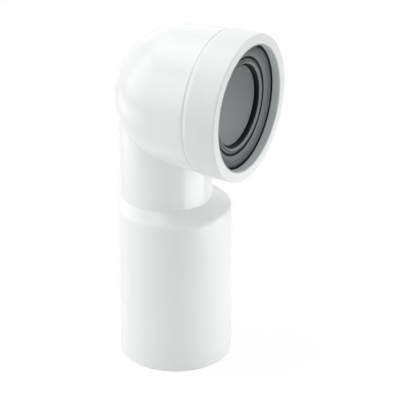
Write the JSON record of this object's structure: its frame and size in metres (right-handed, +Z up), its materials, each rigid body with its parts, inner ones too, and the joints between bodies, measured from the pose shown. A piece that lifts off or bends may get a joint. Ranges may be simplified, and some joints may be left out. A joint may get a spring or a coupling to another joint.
{
  "type": "toilet pan connector",
  "caption": "Right-angle toilet pan connector: white moulded elbow with a domed socket, retaining collar, grey rubber lip seal and an eccentric outlet spigot for soil pipe.",
  "frame": {"origin": "centre of the outlet spigot's open end, on the spigot's axis", "axes": "+Z up the spigot's axis, +X out of the socket towards the toilet pan"},
  "size_m": [0.1364, 0.1434, 0.3477],
  "materials": {
    "white_plastic": "white injection-moulded polypropylene, glossy",
    "white_collar": "white injection-moulded polypropylene, semi-gloss",
    "grey_rubber": "grey moulded rubber, satin"
  },
  "bodies": {
    "root": {"body": "white_plastic", "retaining_collar": "white_collar", "rubber_seal": "grey_rubber"}
  },
  "joints": []
}
